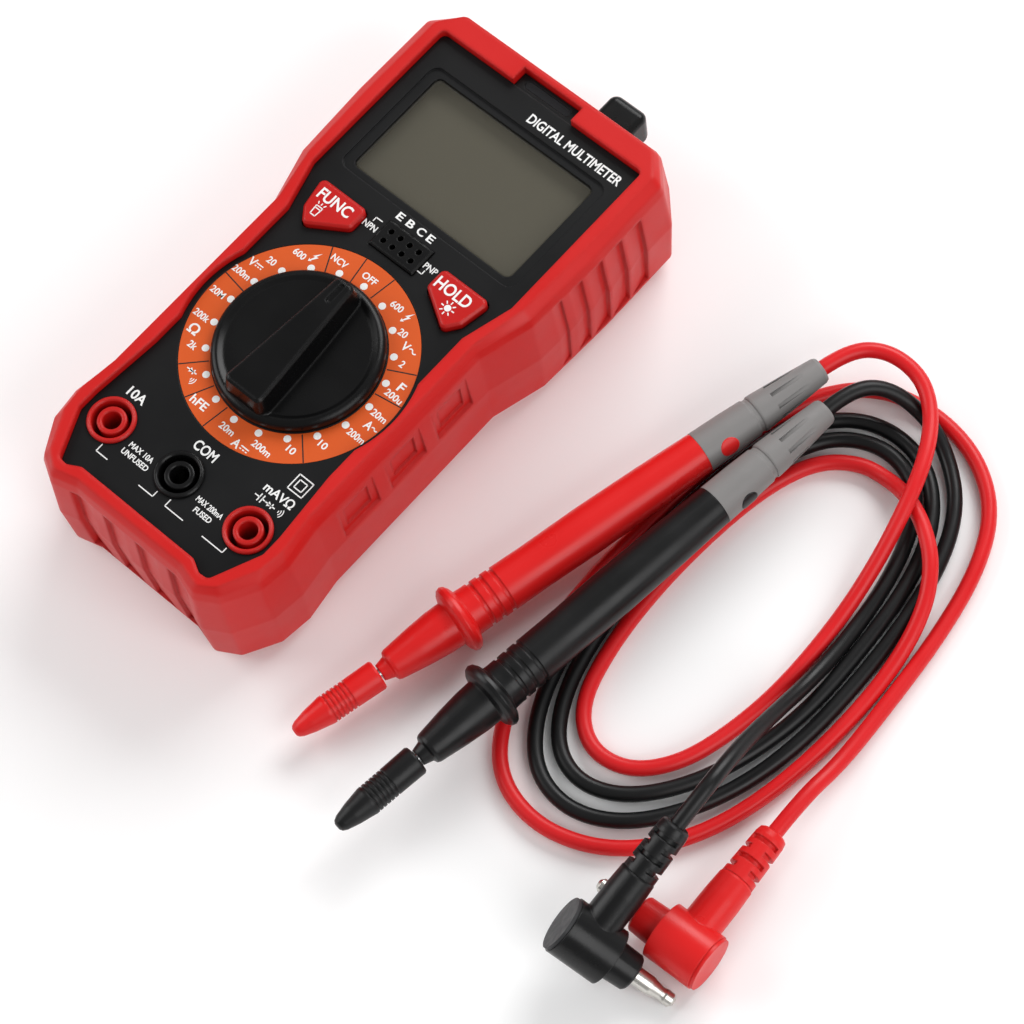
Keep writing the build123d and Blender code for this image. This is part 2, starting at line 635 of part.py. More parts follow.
# ======== jacks ========
JACKS = ((-JACK_PITCH, "10a"), (0, "com"), (JACK_PITCH, "ma"))
for jack_x, name in JACKS:
    jack_axis = Axis((jack_x, JACK_Y, 0), (0, 0, 1))
    jack_section = Plane(origin=(jack_x, JACK_Y, 0), x_dir=(1, 0, 0), z_dir=(0, -1, 0))
    with BuildPart() as shroud:
        with BuildSketch(jack_section):
            Polygon((SLEEVE_RADIUS, 20.0), (SHROUD_RADIUS, 20.0), (SHROUD_RADIUS, 32.7), (5.0, 33.0),
                    (4.6, 33.0), (4.3, 32.7), (4.3, 21.6), (3.2, 21.6), (3.2, 32.2), (3.0, 32.4), (2.25, 32.4),
                    (JACK_BORE, 32.2), (JACK_BORE, SLEEVE_TOP_Z), (SLEEVE_RADIUS, SLEEVE_TOP_Z), align=None)
        revolve(axis=jack_axis)
    save(shroud.part, "jack_shroud_" + name)
    with BuildPart() as sleeve:
        with BuildSketch(jack_section):
            Polygon((0, SLEEVE_BOTTOM_Z), (SLEEVE_RADIUS, SLEEVE_BOTTOM_Z), (SLEEVE_RADIUS, SLEEVE_TOP_Z),
                    (JACK_BORE, SLEEVE_TOP_Z), (JACK_BORE, SLEEVE_BOTTOM_Z + 1), (0, SLEEVE_BOTTOM_Z + 1),
                    align=None)
        revolve(axis=jack_axis)
    save(sleeve.part, "jack_contact_" + name)

# ======== sensor head, torch lens and light bar ========
with BuildPart() as ncv_head:
    with BuildSketch(Plane.XZ.offset(-61.4)):
        with Locations((HEAD_X, HEAD_Z)):
            RectangleRounded(HEAD_WIDTH, HEAD_HEIGHT, 1.6)
    extrude(amount=-(HEAD_END_Y - 61.4))
    fillet(ncv_head.faces().sort_by(Axis.Y)[-1].edges(), 2.2)
    with BuildSketch(Plane.XZ.offset(-59.4)):
        with Locations((HEAD_X, HEAD_Z)):
            Rectangle(12.4, HEAD_HEIGHT + 1.6)
    extrude(amount=-1.8)
    with BuildSketch(Plane.XZ.offset(-61.2)):
        with Locations((HEAD_X, HEAD_Z)):
            RectangleRounded(HEAD_WIDTH, HEAD_HEIGHT, 1.6)
    extrude(amount=-0.4)
    with BuildSketch(Plane.XZ.offset(-HEAD_END_Y)):
        with Locations((HEAD_X, HEAD_Z)):
            Circle(2.3)
    extrude(amount=4.0, mode=Mode.SUBTRACT)
save(ncv_head.part, "ncv_head")

with BuildPart() as torch_lens:
    with BuildSketch(Plane(origin=(HEAD_X, 0, HEAD_Z), x_dir=(0, 1, 0), z_dir=(1, 0, 0))):
        Polygon((73.4, 0), (73.4, 2.3), (76.6, 2.3), (77.2, 1.8), (77.6, 1.1), (77.8, 0.4), (77.8, 0), align=None)
    revolve(axis=Axis((HEAD_X, 0, HEAD_Z), (0, 1, 0)))
save(torch_lens.part, "torch_lens")

with BuildPart() as indicator_lens:
    with BuildSketch(Plane.XY.offset(PANEL_Z - 1.6)):
        with Locations((0, 63.4)):
            SlotOverall(12.4, 1.8)
    extrude(amount=1.2)
save(indicator_lens.part, "indicator_lens")


# ======== test leads ========
def along(start, end, distance):
    """The point at a distance from start towards end."""
    run = Vector(*end) - Vector(*start)
    return Vector(*start) + run.normalized() * distance


def turned(start, end, profile):
    """A piece of revolution about the line from start to end; profile is (distance, radius)."""
    direction = (Vector(*end) - Vector(*start)).normalized()
    helper = Vector(0, 0, 1)
    section = Plane(origin=start, x_dir=direction, z_dir=direction.cross(helper))
    with BuildPart() as piece:
        with BuildSketch(section):
            Polygon(*profile, align=None)
        revolve(axis=Axis(start, tuple(direction)))
    return piece.part


def ribs(first, last, count, high, low):
    """Profile points of equal ribs between two distances."""
    pitch = (last - first) / count
    points = []
    for rib in range(count):
        at = first + rib * pitch
        points += [(at, high), (at + 0.6 * pitch, high), (at + 0.65 * pitch, low), (at + 0.95 * pitch, low)]
    return points + [(last, high)]


CAP = ([(0, 0), (0.05, 0.8), (0.4, 1.35), (1.3, 1.85), (4.0, 2.55), (7.2, 3.1)] + ribs(8.0, 14.0, 6, 3.25, 3.0)
       + [(20.6, 3.35), (21.0, 3.1), (21.0, 1.08), (3.0, 1.08), (3.0, 0)])
NEEDLE = [(3.6, 0), (4.8, 1.0), (60.0, 1.0), (60.0, 0)]
GRIP = ([(21.5, 1.0), (21.5, 1.9), (23.6, 2.5), (24.0, 3.3), (24.6, 3.6), (31.0, 4.5), (36.0, 5.0), (39.4, 5.1),
         (39.9, 6.6), (40.5, 7.4), (41.3, 7.7), (42.1, 7.4), (42.7, 6.6), (43.2, 5.3)]
        + ribs(44.6, 52.4, 3, 5.2, 4.8)
        + [(60.0, 5.1), (74.0, 5.25), (90.0, 5.0), (102.6, 4.6), (102.6, 3.2), (110.0, 3.2), (110.0, 0),
           (60.0, 0), (60.0, 1.0)])
SLEEVE = [(102.6, 3.2), (102.6, 4.65), (110.0, 4.5), (115.6, 4.25), (116.0, 3.95), (116.9, 3.95), (116.9, 0),
          (110.0, 0), (110.0, 3.2)]
BOOT = [(116.9, 0), (116.9, 4.1), (117.3, 4.25), (118.4, 4.2), (126.0, 3.65), (133.4, 3.0), (134.0, 2.7), (134.0, 0)]

for colour, (tip, tail) in (("red", RED_PROBE), ("black", BLACK_PROBE)):
    tail = tuple(along(tip, tail, PROBE_LENGTH))
    save(turned(tip, tail, CAP), colour + "_probe_cap")
    save(turned(tip, tail, NEEDLE), colour + "_probe_needle")
    save(turned(tip, tail, GRIP), colour + "_probe_grip")
    save(turned(tip, tail, SLEEVE), colour + "_probe_sleeve")
    slot_place = Plane(origin=tuple(along(tip, tail, 125.2)), z_dir=(Vector(*tail) - Vector(*tip)).normalized())
    with BuildPart() as boot:
        add(turned(tip, tail, BOOT))
        with Locations(slot_place):
            with PolarLocations(3.85, 8):
                Box(1.0, 0.9, 8.0, mode=Mode.SUBTRACT)
    save(boot.part, colour + "_probe_boot")

PLUG_BARREL = [(5.0, PIN_RADIUS), (5.0, 4.3), (10.9, 4.0), (11.3, 3.7), (11.3, PIN_RADIUS)]
PLUG_PIN = [(5.0, 0), (5.0, PIN_RADIUS), (15.4, PIN_RADIUS), (18.2, 1.4), (18.8, 1.4), (19.2, 1.6), (20.8, 1.55),
            (21.5, 0.9), (21.5, 0)]
PLUG_ARM = [(0, 0), (0, 4.2), (12.0, 4.1), (16.5, 3.9), (17.0, 3.6), (17.0, 0)]
PLUG_RELIEF = [(17.0, 0), (17.0, 3.7), (27.6, 3.35), (28.8, 3.1), (29.2, 2.6), (29.2, 0)]
RELIEF_END = 29.2


def flexible_relief(start, end):
    """A cord guard whose short grooves alternate round it so that it bends."""
    direction = (Vector(*end) - Vector(*start)).normalized()
    axis = Axis(start, tuple(direction))
    normal = direction.cross(Vector(0, 0, 1)).normalized()
    with BuildPart() as piece:
        add(turned(start, end, PLUG_RELIEF))
        for groove in range(4):
            at = 18.4 + 2.4 * groove
            for half in (0, 180):
                facing = normal.rotate(Axis((0, 0, 0), tuple(direction)), 90 * (groove % 2) + half + 28)
                with BuildSketch(Plane(origin=start, x_dir=direction, z_dir=facing)):
                    Polygon((at, 2.6), (at + 1.1, 2.6), (at + 1.1, 4.4), (at, 4.4), align=None)
                revolve(axis=axis, revolution_arc=126, mode=Mode.SUBTRACT)
    return piece.part


for colour, (centre, cord_end, pin_side, tilt) in (("red", RED_PLUG), ("black", BLACK_PLUG)):
    arm = (Vector(*cord_end) - Vector(*centre)).normalized()
    pin = Vector(arm.Y, -arm.X, 0).normalized() * pin_side
    pin = pin.rotate(Axis((0, 0, 0), tuple(arm)), tilt)
    pin_end = tuple(Vector(*centre) + pin * 30)
    with BuildPart() as plug:
        add(turned(centre, cord_end, PLUG_ARM))
        add(turned(centre, pin_end, PLUG_BARREL))
        with BuildSketch(Plane(origin=tuple(Vector(*centre) - pin * PLUG_HALF), x_dir=arm, z_dir=pin)):
            Circle(PLUG_RADIUS)
        extrude(amount=2 * PLUG_HALF)
        add(turned(centre, pin_end, [(5.0, 0), (5.0, PIN_RADIUS), (13.0, PIN_RADIUS), (13.0, 0)]),
            mode=Mode.SUBTRACT)
    save(plug.part, colour + "_plug_body")
    with BuildPart() as plug_cap:
        with BuildSketch(Plane(origin=tuple(Vector(*centre) - pin * PLUG_HALF), x_dir=arm, z_dir=-pin)):
            Circle(PLUG_RADIUS - 0.3)
        extrude(amount=0.8)
    save(plug_cap.part, colour + "_plug_cap")
    save(turned(centre, pin_end, PLUG_PIN), colour + "_plug_pin")
    save(flexible_relief(centre, cord_end), colour + "_plug_relief")

# Cord routes: from the probe's tail, twice round the loose loops, to the plug's strain relief.
CORD_Z = 1.8             # a cord lying on the table
OVER_Z = 7.2             # a cord passing over another
RED_ROUTE = [
    tuple(along(*RED_PROBE, PROBE_LENGTH)), tuple(along(*RED_PROBE, PROBE_LENGTH + 7.5)),
    (87.3, 70.5, 11.2), (95.8, 70.8, 9.8), (102.8, 65.8, 9.4), (108.4, 57.2, 10.8), (112.2, 46.4, 10.6),
    (114.6, 33.0, 5.2), (116.0, 18.0, CORD_Z), (116.4, 0.0, CORD_Z), (114.4, -14.0, CORD_Z),
    (110.8, -25.4, CORD_Z), (103.8, -33.4, CORD_Z), (94.4, -34.8, CORD_Z), (86.8, -28.6, CORD_Z),
    (83.2, -15.6, CORD_Z), (81.8, 1.0, CORD_Z), (82.6, 19.0, CORD_Z), (84.8, 33.4, CORD_Z),
    (89.2, 44.4, CORD_Z), (96.6, 50.0, CORD_Z), (103.8, 50.6, 2.2), (110.0, 48.8, 5.8), (117.0, 45.4, 7.2),
    (124.2, 39.4, 7.2), (129.2, 30.0, 5.0), (131.3, 16.0, CORD_Z), (131.2, -2.0, CORD_Z),
    (129.2, -18.0, CORD_Z), (125.0, -32.0, CORD_Z), (117.8, -43.4, CORD_Z), (107.6, -51.2, CORD_Z),
    (95.2, -54.2, CORD_Z), (83.4, -50.6, CORD_Z), (75.8, -40.0, CORD_Z), (71.6, -25.0, CORD_Z),
    (70.2, -7.0, CORD_Z), (70.6, 12.0, CORD_Z), (72.2, 30.0, CORD_Z), (75.4, 46.0, CORD_Z),
    (80.4, 58.4, CORD_Z), (89.4, 66.6, CORD_Z), (101.6, 69.0, CORD_Z), (114.2, 66.6, CORD_Z),
    (124.6, 59.0, CORD_Z), (130.6, 46.4, CORD_Z), (133.6, 30.0, CORD_Z), (135.0, 12.0, CORD_Z),
    (136.0, -5.0, 2.8), tuple(along(RED_PLUG[0], RED_PLUG[1], RELIEF_END + 10)),
    tuple(along(RED_PLUG[0], RED_PLUG[1], RELIEF_END)),
]
BLACK_ROUTE = [
    tuple(along(*BLACK_PROBE, PROBE_LENGTH)), tuple(along(*BLACK_PROBE, PROBE_LENGTH + 7.5)),
    (92.6, 64.6, 9.8), (102.2, 66.0, 4.4), (110.4, 62.2, CORD_Z), (118.2, 55.2, CORD_Z),
    (123.4, 44.4, CORD_Z), (126.2, 30.0, CORD_Z), (127.3, 14.0, CORD_Z), (127.1, -4.0, CORD_Z),
    (124.4, -19.0, CORD_Z), (118.8, -32.0, CORD_Z), (110.4, -42.6, CORD_Z), (100.0, -47.6, CORD_Z),
    (89.2, -45.6, CORD_Z), (81.0, -36.0, CORD_Z), (76.2, -22.0, CORD_Z), (74.2, -6.0, CORD_Z),
    (74.4, 12.0, CORD_Z), (75.8, 28.4, CORD_Z), (79.0, 43.2, CORD_Z), (84.6, 53.6, CORD_Z),
    (93.0, 59.4, CORD_Z), (103.6, 59.8, CORD_Z), (112.6, 54.6, CORD_Z), (118.8, 45.2, CORD_Z),
    (122.0, 33.0, CORD_Z), (123.4, 17.0, CORD_Z), (123.5, 0.0, CORD_Z), (120.8, -14.0, CORD_Z),
    (115.8, -27.0, CORD_Z), (107.6, -37.6, CORD_Z), (98.0, -41.8, CORD_Z), (89.0, -38.8, CORD_Z),
    (82.4, -28.6, CORD_Z), (79.0, -15.0, CORD_Z), (77.9, 0.0, CORD_Z), (78.5, 16.0, CORD_Z),
    (80.2, 31.0, CORD_Z), (84.0, 44.2, CORD_Z), (89.6, 52.2, CORD_Z), (98.6, 56.2, CORD_Z),
    (108.4, 53.8, CORD_Z), (114.8, 44.4, CORD_Z), (118.4, 31.0, CORD_Z), (119.8, 17.0, CORD_Z),
    (120.2, 5.0, 3.8), (120.8, -6.0, 9.8), (122.0, -16.0, 17.2), (123.4, -24.4, 22.6),
    tuple(along(BLACK_PLUG[0], BLACK_PLUG[1], RELIEF_END + 8)),
    tuple(along(BLACK_PLUG[0], BLACK_PLUG[1], RELIEF_END)),
]


def corner_radii(points):
    """Each corner's arc: as large as its two runs allow."""
    corners = [Vector(*point) for point in points]
    radii = []
    for before, corner, after in zip(corners, corners[1:], corners[2:]):
        turn = (corner - before).get_angle(after - corner)
        shorter = min((corner - before).length, (after - corner).length)
        radii.append(0.45 * shorter / math.tan(math.radians(turn) / 2))
    return radii


for colour, route in (("red", RED_ROUTE), ("black", BLACK_ROUTE)):
    radii = corner_radii(route)
    with BuildPart() as cord:
        with BuildLine() as cord_path:
            FilletPolyline(*route, radius=radii)
        with BuildSketch(Plane(origin=route[0], z_dir=tuple(Vector(*route[1]) - Vector(*route[0])))):
            Circle(CORD_RADIUS)
        sweep()
    length = sum(edge.length for edge in cord_path.edges())
    print(colour, "cord length", round(length, 1), "smallest radius", round(min(radii), 1),
          "volume ratio", round(cord.part.volume / (math.pi * CORD_RADIUS ** 2 * length), 4))
    print("  radii", [round(radius) for radius in radii])
    save(cord.part, colour + "_cord")
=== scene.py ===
import bpy
import bmesh
import math
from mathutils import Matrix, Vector


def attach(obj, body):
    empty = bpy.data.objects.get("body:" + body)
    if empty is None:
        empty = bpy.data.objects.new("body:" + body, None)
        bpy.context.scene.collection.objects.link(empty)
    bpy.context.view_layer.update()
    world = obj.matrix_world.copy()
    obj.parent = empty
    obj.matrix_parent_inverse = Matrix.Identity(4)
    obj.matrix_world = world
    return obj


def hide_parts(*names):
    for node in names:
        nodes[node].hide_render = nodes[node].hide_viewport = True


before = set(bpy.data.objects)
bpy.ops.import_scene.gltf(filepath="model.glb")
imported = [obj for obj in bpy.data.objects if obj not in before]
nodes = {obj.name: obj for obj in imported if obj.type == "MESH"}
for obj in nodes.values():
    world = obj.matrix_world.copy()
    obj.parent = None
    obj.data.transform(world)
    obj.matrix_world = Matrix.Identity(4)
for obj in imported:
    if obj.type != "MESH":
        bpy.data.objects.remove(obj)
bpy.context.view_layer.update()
MM = 0.001

# ======== camera ========
camera_data = bpy.data.cameras.new("camera")
camera_data.lens = 116.8
camera_data.sensor_width = 36.0
camera_data.clip_start = 0.01
camera = bpy.data.objects.new("camera", camera_data)
bpy.context.scene.collection.objects.link(camera)
camera.location = (0.28256, -0.18237, 0.63854)
camera.rotation_euler = (math.radians(24.319), math.radians(5.207), math.radians(41.686))
bpy.context.scene.camera = camera
bpy.context.scene.view_settings.view_transform = "Standard"

# ======== sizes used here (mm) ========
PANEL_Z = 32.2
DIAL_Y = -14.6
DIAL_Z = 32.15
BUTTON_Z = 34.0
CORD_Z = 1.8
CORD_RADIUS = 1.7
PROBE_LENGTH = 134.0
RELIEF_END = 29.2
RED_PROBE = ((47.0, -71.9, 6.4), (79.2, 58.1, 11.4))
BLACK_PROBE = ((69.4, -81.9, 11.3), (86.0, 49.3, 11.9))
RED_PLUG = ((137.6, -54.9, 6.3), (136.2, -26.0, 6.3))
BLACK_PLUG = ((123.4, -67.4, 11.2), (124.2, -40.2, 22.0))


def along(start, end, distance):
    """The point at a distance from start towards end."""
    run = Vector(end) - Vector(start)
    return tuple(Vector(start) + run.normalized() * distance)


# ======== the two cords ========
RED_ROUTE = [
    along(*RED_PROBE, PROBE_LENGTH), along(*RED_PROBE, PROBE_LENGTH + 7.5),
    (87.3, 70.5, 11.2), (95.8, 70.8, 9.8), (102.8, 65.8, 9.4), (108.4, 57.2, 10.8), (112.2, 46.4, 10.6),
    (114.6, 33.0, 5.2), (116.0, 18.0, CORD_Z), (116.4, 0.0, CORD_Z), (114.4, -14.0, CORD_Z),
    (110.8, -25.4, CORD_Z), (103.8, -33.4, CORD_Z), (94.4, -34.8, CORD_Z), (86.8, -28.6, CORD_Z),
    (83.2, -15.6, CORD_Z), (81.8, 1.0, CORD_Z), (82.6, 19.0, CORD_Z), (84.8, 33.4, CORD_Z),
    (89.2, 44.4, CORD_Z), (96.6, 50.0, CORD_Z), (103.8, 50.6, 2.2), (110.0, 48.8, 5.8), (117.0, 45.4, 7.2),
    (124.2, 39.4, 7.2), (129.2, 30.0, 5.0), (131.3, 16.0, CORD_Z), (131.2, -2.0, CORD_Z),
    (129.2, -18.0, CORD_Z), (125.0, -32.0, CORD_Z), (117.8, -43.4, CORD_Z), (107.6, -51.2, CORD_Z),
    (95.2, -54.2, CORD_Z), (83.4, -50.6, CORD_Z), (75.8, -40.0, CORD_Z), (71.6, -25.0, CORD_Z),
    (70.2, -7.0, CORD_Z), (70.6, 12.0, CORD_Z), (72.2, 30.0, CORD_Z), (75.4, 46.0, CORD_Z),
    (80.4, 58.4, CORD_Z), (89.4, 66.6, CORD_Z), (101.6, 69.0, CORD_Z), (114.2, 66.6, CORD_Z),
    (124.6, 59.0, CORD_Z), (130.6, 46.4, CORD_Z), (133.6, 30.0, CORD_Z), (135.0, 12.0, CORD_Z),
    (136.0, -5.0, 2.8), along(*RED_PLUG, RELIEF_END + 10), along(*RED_PLUG, RELIEF_END),
]
BLACK_ROUTE = [
    along(*BLACK_PROBE, PROBE_LENGTH), along(*BLACK_PROBE, PROBE_LENGTH + 7.5),
    (92.6, 64.6, 9.8), (102.2, 66.0, 4.4), (110.4, 62.2, CORD_Z), (118.2, 55.2, CORD_Z),
    (123.4, 44.4, CORD_Z), (126.2, 30.0, CORD_Z), (127.3, 14.0, CORD_Z), (127.1, -4.0, CORD_Z),
    (124.4, -19.0, CORD_Z), (118.8, -32.0, CORD_Z), (110.4, -42.6, CORD_Z), (100.0, -47.6, CORD_Z),
    (89.2, -45.6, CORD_Z), (81.0, -36.0, CORD_Z), (76.2, -22.0, CORD_Z), (74.2, -6.0, CORD_Z),
    (74.4, 12.0, CORD_Z), (75.8, 28.4, CORD_Z), (79.0, 43.2, CORD_Z), (84.6, 53.6, CORD_Z),
    (93.0, 59.4, CORD_Z), (103.6, 59.8, CORD_Z), (112.6, 54.6, CORD_Z), (118.8, 45.2, CORD_Z),
    (122.0, 33.0, CORD_Z), (123.4, 17.0, CORD_Z), (123.5, 0.0, CORD_Z), (120.8, -14.0, CORD_Z),
    (115.8, -27.0, CORD_Z), (107.6, -37.6, CORD_Z), (98.0, -41.8, CORD_Z), (89.0, -38.8, CORD_Z),
    (82.4, -28.6, CORD_Z), (79.0, -15.0, CORD_Z), (77.9, 0.0, CORD_Z), (78.5, 16.0, CORD_Z),
    (80.2, 31.0, CORD_Z), (84.0, 44.2, CORD_Z), (89.6, 52.2, CORD_Z), (98.6, 56.2, CORD_Z),
    (108.4, 53.8, CORD_Z), (114.8, 44.4, CORD_Z), (118.4, 31.0, CORD_Z), (119.8, 17.0, CORD_Z),
    (120.2, 5.0, 3.8), (120.8, -6.0, 9.8), (122.0, -16.0, 17.2), (123.4, -24.4, 22.6),
    along(*BLACK_PLUG, RELIEF_END + 8), along(*BLACK_PLUG, RELIEF_END),
]


def link(obj):
    """Put an object in the scene."""
    bpy.context.scene.collection.objects.link(obj)
    return obj


def lead(colour, route):
    """One test lead's cord as a smooth round curve."""
    curve = bpy.data.curves.new(colour + "_lead", "CURVE")
    curve.dimensions = "3D"
    spline = curve.splines.new("NURBS")
    spline.points.add(len(route) - 1)
    for point, place in zip(spline.points, route):
        point.co = (place[0] * MM, place[1] * MM, place[2] * MM, 1.0)
        point.radius = CORD_RADIUS * MM
    spline.order_u = 3
    spline.use_endpoint_u = True
    spline.resolution_u = 8
    curve.bevel_depth = 1.0
    curve.bevel_resolution = 5
    piece = link(bpy.data.objects.new(colour + "_lead", curve))
    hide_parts(colour + "_cord")
    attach(piece, "housing")
    return piece


red_lead = lead("red", RED_ROUTE)
black_lead = lead("black", BLACK_ROUTE)


# ======== materials ========
def surface(name, colour, roughness, grain=900.0, depth=0.00002, shift=0.12, edge_wear_and_highlight=0.0, edge_wear_and_highlight_colour=None,
            edge=0.0004, coat=0.0, coat_rough=0.2, specular=0.3, metallic=0.0, blotch=60.0, rough_shift=0.08):
    """A moulded or turned surface: mottled colour, fine grain, soft edges, and rounded edges lightened partly
    as wear and partly as a painted highlight.
    """
    material = bpy.data.materials.new(name)
    material.use_nodes = True
    tree = material.node_tree
    shader = tree.nodes["Principled BSDF"]
    shader.inputs["Metallic"].default_value = metallic
    shader.inputs["Coat Weight"].default_value = coat
    shader.inputs["Coat Roughness"].default_value = coat_rough
    shader.inputs["Specular IOR Level"].default_value = specular
    place = tree.nodes.new("ShaderNodeTexCoord")
    fine = tree.nodes.new("ShaderNodeTexNoise")
    fine.inputs["Scale"].default_value = grain
    fine.inputs["Detail"].default_value = 3.0
    broad = tree.nodes.new("ShaderNodeTexNoise")
    broad.inputs["Scale"].default_value = blotch
    broad.inputs["Detail"].default_value = 4.0
    tree.links.new(place.outputs["Object"], fine.inputs["Vector"])
    tree.links.new(place.outputs["Object"], broad.inputs["Vector"])
    tint = tree.nodes.new("ShaderNodeMix")
    tint.data_type = "RGBA"
    tint.inputs[6].default_value = (*[c * (1 - shift) for c in colour], 1)
    tint.inputs[7].default_value = (*[min(1.0, c * (1 + shift)) for c in colour], 1)
    tree.links.new(broad.outputs["Fac"], tint.inputs[0])
    colour_out = tint.outputs[2]
    rough = tree.nodes.new("ShaderNodeMapRange")
    rough.inputs["From Min"].default_value = 0.3
    rough.inputs["From Max"].default_value = 0.7
    rough.inputs["To Min"].default_value = max(0.02, roughness - rough_shift)
    rough.inputs["To Max"].default_value = roughness + rough_shift
    tree.links.new(broad.outputs["Fac"], rough.inputs["Value"])
    tree.links.new(rough.outputs["Result"], shader.inputs["Roughness"])
    bump = tree.nodes.new("ShaderNodeBump")
    bump.inputs["Strength"].default_value = 0.5 if depth else 0.0
    bump.inputs["Distance"].default_value = depth
    tree.links.new(fine.outputs["Fac"], bump.inputs["Height"])
    if edge:
        round_off = tree.nodes.new("ShaderNodeBevel")
        round_off.samples = 4
        round_off.inputs["Radius"].default_value = edge
        tree.links.new(round_off.outputs["Normal"], bump.inputs["Normal"])
        # Lighter colour along rounded edges: partly edge wear, partly a painted highlight where edges would
        # catch the light.
        if edge_wear_and_highlight:
            facing = tree.nodes.new("ShaderNodeNewGeometry")
            bend = tree.nodes.new("ShaderNodeVectorMath")
            bend.operation = "DOT_PRODUCT"
            tree.links.new(facing.outputs["True Normal"], bend.inputs[0])
            tree.links.new(round_off.outputs["Normal"], bend.inputs[1])
            edge_wear_and_highlight_amount = tree.nodes.new("ShaderNodeMapRange")
            edge_wear_and_highlight_amount.inputs["From Min"].default_value = 0.99
            edge_wear_and_highlight_amount.inputs["From Max"].default_value = 0.88
            edge_wear_and_highlight_amount.inputs["To Min"].default_value = 0.0
            edge_wear_and_highlight_amount.inputs["To Max"].default_value = edge_wear_and_highlight
            tree.links.new(bend.outputs["Value"], edge_wear_and_highlight_amount.inputs["Value"])
            lighter = tree.nodes.new("ShaderNodeMix")
            lighter.data_type = "RGBA"
            lighter.inputs[7].default_value = (*(edge_wear_and_highlight_colour or [min(1.0, c * 1.5 + 0.04) for c in colour]), 1)
            tree.links.new(edge_wear_and_highlight_amount.outputs["Result"], lighter.inputs[0])
            tree.links.new(colour_out, lighter.inputs[6])
            colour_out = lighter.outputs[2]
    tree.links.new(colour_out, shader.inputs["Base Color"])
    tree.links.new(bump.outputs["Normal"], shader.inputs["Normal"])
    return material


# The wear values and colours below lighten rounded edges: partly wear, partly a painted edge highlight.
red_rubber = surface("red_rubber_skin", (0.56, 0.0075, 0.0065), 0.42, grain=1500, depth=0.00003, shift=0.05,
                     edge_wear_and_highlight=0.3, edge_wear_and_highlight_colour=(0.64, 0.03, 0.026), edge=0.0013)
panel_black = surface("panel_black", (0.0045, 0.0046, 0.005), 0.45, specular=0.2, grain=2600,
                      depth=0.00002, shift=0.08,
                      edge_wear_and_highlight=0.4, edge_wear_and_highlight_colour=(0.03, 0.03, 0.031), edge=0.0004)
shell_black = surface("shell_black", (0.007, 0.007, 0.0074), 0.55, grain=1700, depth=0.00004, edge_wear_and_highlight=0.4,
                      edge_wear_and_highlight_colour=(0.06, 0.06, 0.062), edge=0.0005)
knob_black = surface("knob_black", (0.003, 0.003, 0.0032), 0.26, specular=0.22, grain=2200,
                     depth=0.000015, edge_wear_and_highlight=0.6,
                     edge_wear_and_highlight_colour=(0.02, 0.02, 0.02), edge=0.0007)
gloss_black = surface("gloss_black", (0.0035, 0.0035, 0.0037), 0.26, specular=0.24, grain=1800,
                      depth=0.000015, edge_wear_and_highlight=0.4,
                      edge_wear_and_highlight_colour=(0.025, 0.025, 0.025), edge=0.0004)
button_red = surface("button_red", (0.48, 0.008, 0.007), 0.34, grain=1800, depth=0.000015,
                     shift=0.05, edge_wear_and_highlight=0.4,
                     edge_wear_and_highlight_colour=(0.66, 0.06, 0.05), edge=0.0006)
dial_orange = surface("dial_orange", (0.62, 0.088, 0.010), 0.5, grain=3000, depth=0.00001,
                      shift=0.05, edge=0.0)
probe_red = surface("probe_red", (0.68, 0.012, 0.012), 0.34, grain=1200, depth=0.00002, shift=0.04, edge_wear_and_highlight=0.3,
                    edge_wear_and_highlight_colour=(0.75, 0.06, 0.055), edge=0.0004)
probe_black = surface("probe_black", (0.0045, 0.0046, 0.0049), 0.34, grain=1200, depth=0.00003, edge_wear_and_highlight=0.4,
                      edge_wear_and_highlight_colour=(0.03, 0.03, 0.03), edge=0.0004)
sleeve_grey = surface("sleeve_grey", (0.215, 0.207, 0.203), 0.46, grain=1500, depth=0.00003,
                      shift=0.05, edge_wear_and_highlight=0.3,
                      edge=0.0003)
cap_grey = surface("cap_grey", (0.03, 0.03, 0.032), 0.5, grain=420, depth=0.00025, shift=0.3, blotch=500.0,
                   edge_wear_and_highlight=0.4, edge=0.0003)
wire_red = surface("wire_red", (0.66, 0.010, 0.013), 0.38, grain=700, depth=0.00002, shift=0.05, edge=0.0)
wire_black = surface("wire_black", (0.005, 0.005, 0.0053), 0.4, grain=700, depth=0.00002, edge=0.0)
nickel = surface("nickel_plate", (0.62, 0.60, 0.56), 0.24, grain=3500, depth=0.000006,
                 metallic=1.0, edge=0.0002)
steel = surface("turned_steel", (0.55, 0.55, 0.56), 0.28, grain=4000, depth=0.000006, metallic=1.0,
                edge=0.0002)
brass = surface("turned_brass", (0.60, 0.44, 0.20), 0.3, grain=3500, depth=0.000008, metallic=1.0,
                edge=0.0002)
board_green = surface("board_green", (0.01, 0.09, 0.03), 0.3, grain=900, depth=0.00001, edge=0.0, coat=0.3)
cell_wrap = surface("cell_wrap", (0.10, 0.10, 0.12), 0.3, grain=900, depth=0.00001, edge=0.0, coat=0.3)
white_moulded = surface("white_moulded", (0.62, 0.62, 0.60), 0.5, grain=1200, depth=0.00002,
                        shift=0.04, edge=0.0003)
white_print = surface("white_print", (0.80, 0.80, 0.79), 0.55, grain=3000, depth=0.000005,
                      shift=0.03, edge=0.0)
black_print = surface("black_print", (0.018, 0.014, 0.012), 0.55, grain=3000, depth=0.000005, edge=0.0)
strip_pink = surface("strip_pink", (0.35, 0.25, 0.28), 0.6, grain=1200, depth=0.00003, edge=0.0)
